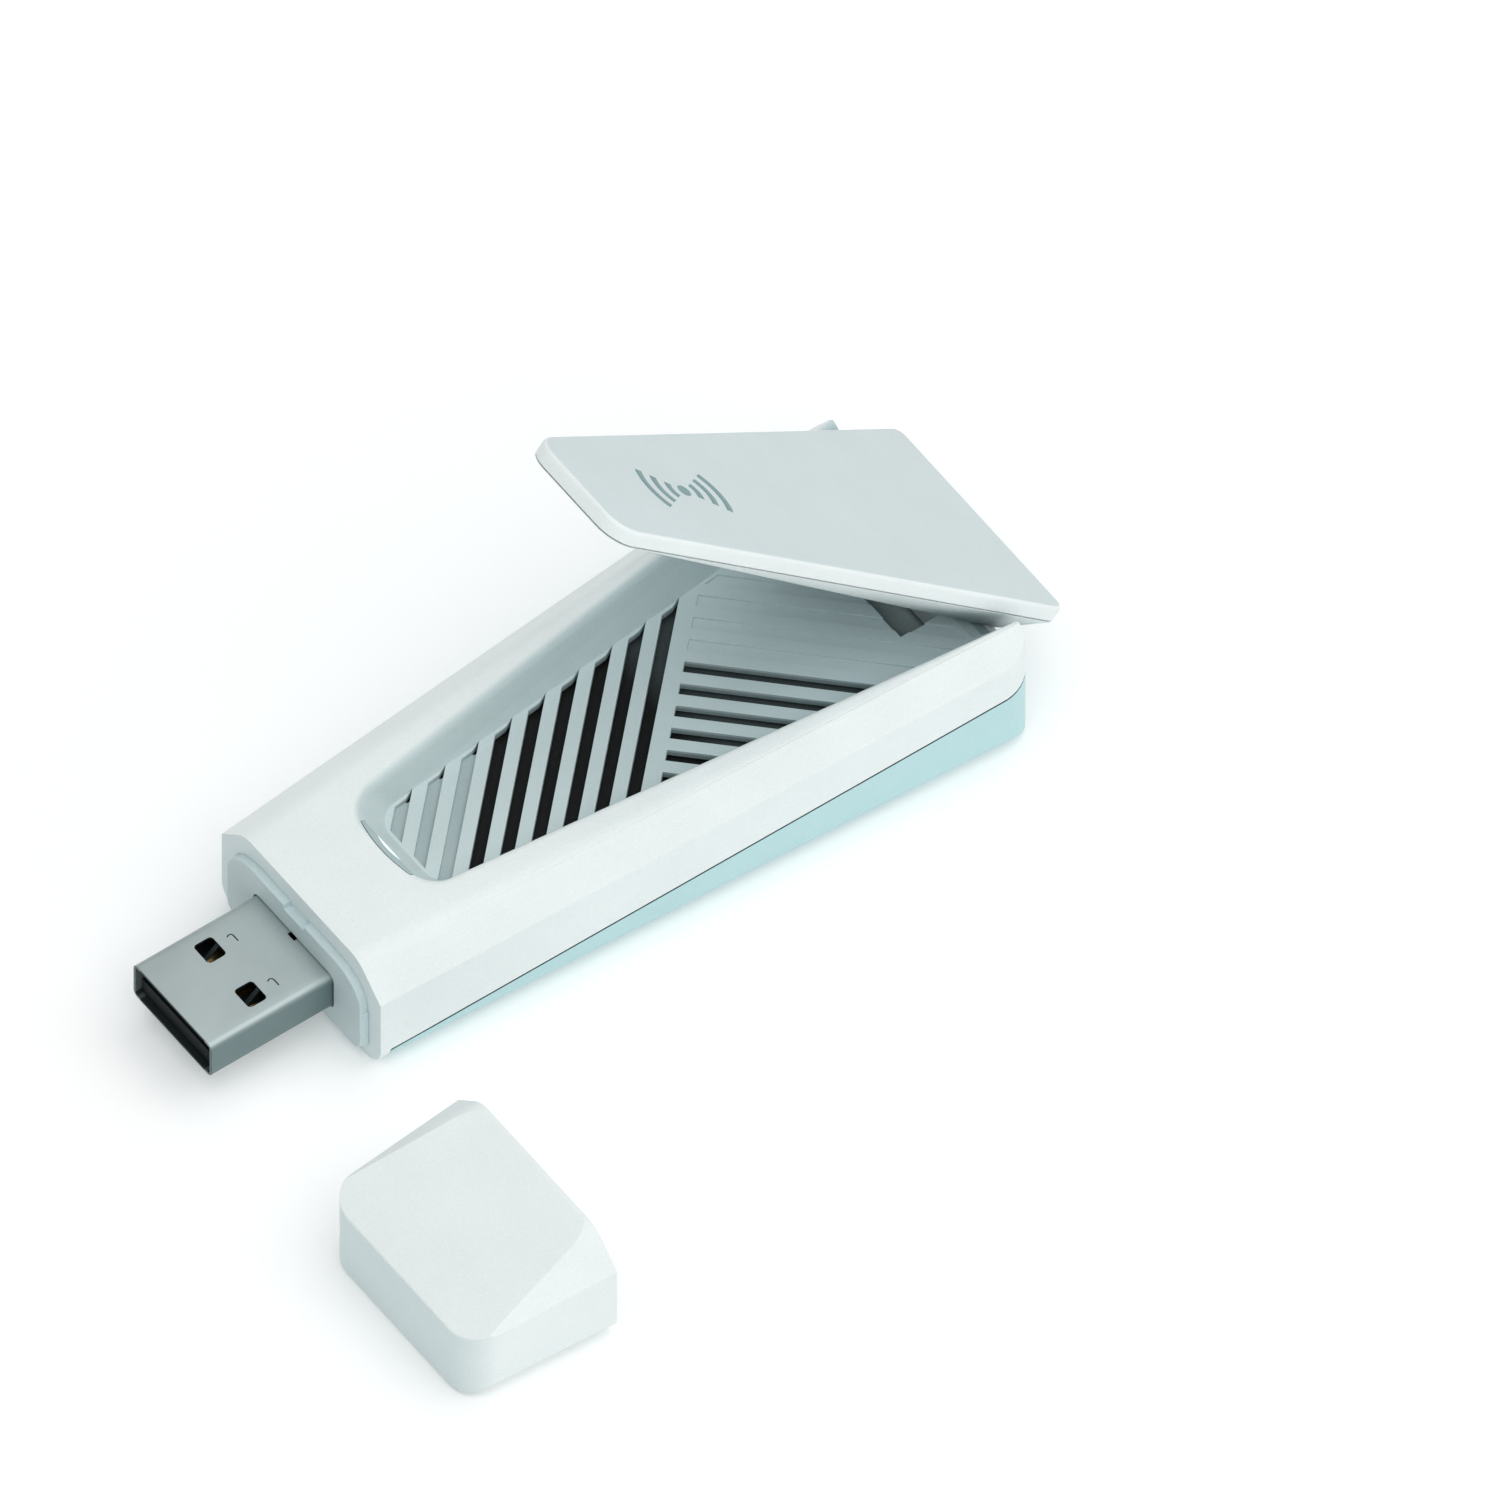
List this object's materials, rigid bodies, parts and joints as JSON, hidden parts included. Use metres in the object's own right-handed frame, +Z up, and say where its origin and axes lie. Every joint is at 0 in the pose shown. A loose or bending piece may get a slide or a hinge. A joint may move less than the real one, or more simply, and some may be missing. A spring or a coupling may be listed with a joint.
{
  "type": "usb wifi adapter",
  "caption": "Tapered two-shell USB stick with vent grille pocket, folding antenna panel on a rear hinge and a pull-off plug cap.",
  "frame": {"origin": "on the flat underside, below the middle of the housing, 31.6 mm ahead of the hinge axis", "axes": "+X from the plug towards the hinge, +Z up out of the pocket, +Y to the left seen from the plug"},
  "size_m": [0.0924, 0.0657, 0.0503],
  "materials": {
    "white_plastic": "cool white moulded plastic, fine satin texture",
    "pale_blue_plastic": "light blue moulded plastic, fine satin texture",
    "panel_plastic": "pale grey moulded plastic, smooth satin",
    "grey_plastic": "cool grey moulded plastic",
    "label_film": "blank adhesive film",
    "clear_plastic": "frosted clear plastic",
    "plug_steel": "nickel-plated pressed steel, satin",
    "plated_steel": "zinc-plated steel",
    "gold_plating": "gold-plated copper alloy",
    "black_plastic": "black insulator, semi-matte",
    "circuit_board": "green solder mask on glass-filled board",
    "chip_epoxy": "black moulded epoxy",
    "ferrite": "dark grey ferrite",
    "ceramic_tan": "tan ceramic",
    "tinned_metal": "tin-plated sheet metal",
    "silicone_pad": "soft blue-grey silicone pad",
    "black_aluminium": "black anodised aluminium",
    "coax_jacket": "grey fluoropolymer jacket"
  },
  "bodies": {
    "housing": {"top_shell": "white_plastic", "bottom_cover": "pale_blue_plastic", "underside_label": "label_film", "light_guide": "clear_plastic", "front_collar": "grey_plastic", "usb_shell": "plug_steel", "usb_tongue": "black_plastic", "usb_contact_1": "gold_plating", "usb_contact_2": "gold_plating", "usb_contact_3": "gold_plating", "usb_contact_4": "gold_plating", "main_board": "circuit_board", "board_screw_1": "plated_steel", "board_screw_2": "plated_steel", "board_screw_3": "plated_steel", "wifi_chip": "chip_epoxy", "memory_chip": "chip_epoxy", "regulator": "chip_epoxy", "inductor": "ferrite", "crystal": "tinned_metal", "status_led": "clear_plastic", "capacitor_1": "ceramic_tan", "capacitor_2": "ceramic_tan", "capacitor_3": "ceramic_tan", "capacitor_4": "ceramic_tan", "radio_shield": "tinned_metal", "thermal_pad": "silicone_pad", "heat_sink": "black_aluminium", "coax_socket_left": "gold_plating", "coax_socket_right": "gold_plating", "coax_plug_left": "gold_plating", "coax_plug_right": "gold_plating", "board_lead_left": "coax_jacket", "board_lead_right": "coax_jacket", "hinge_sleeve_left": "plated_steel", "hinge_sleeve_right": "plated_steel", "spring_washer_left": "plated_steel", "spring_washer_right": "plated_steel", "retaining_clip_left": "plated_steel", "retaining_clip_right": "plated_steel"},
    "antenna_panel": {"flap_shell": "white_plastic", "flap_cover": "panel_plastic", "antenna_board_left": "circuit_board", "antenna_board_right": "circuit_board", "antenna_lead_left": "coax_jacket", "antenna_lead_right": "coax_jacket"},
    "cap": {"cap": "white_plastic"}
  },
  "joints": [
    {"name": "antenna_hinge", "type": "hinge", "parent": "housing", "child": "antenna_panel", "pos_m": [0.0316, 0, 0.0045], "axis": [0, 1, 0], "range_deg": [-41.2, 96]},
    {"name": "cap_pull", "type": "slide", "parent": "housing", "child": "cap", "axis": [-1, 0, 0], "range_m": [0, 0.016]}
  ]
}
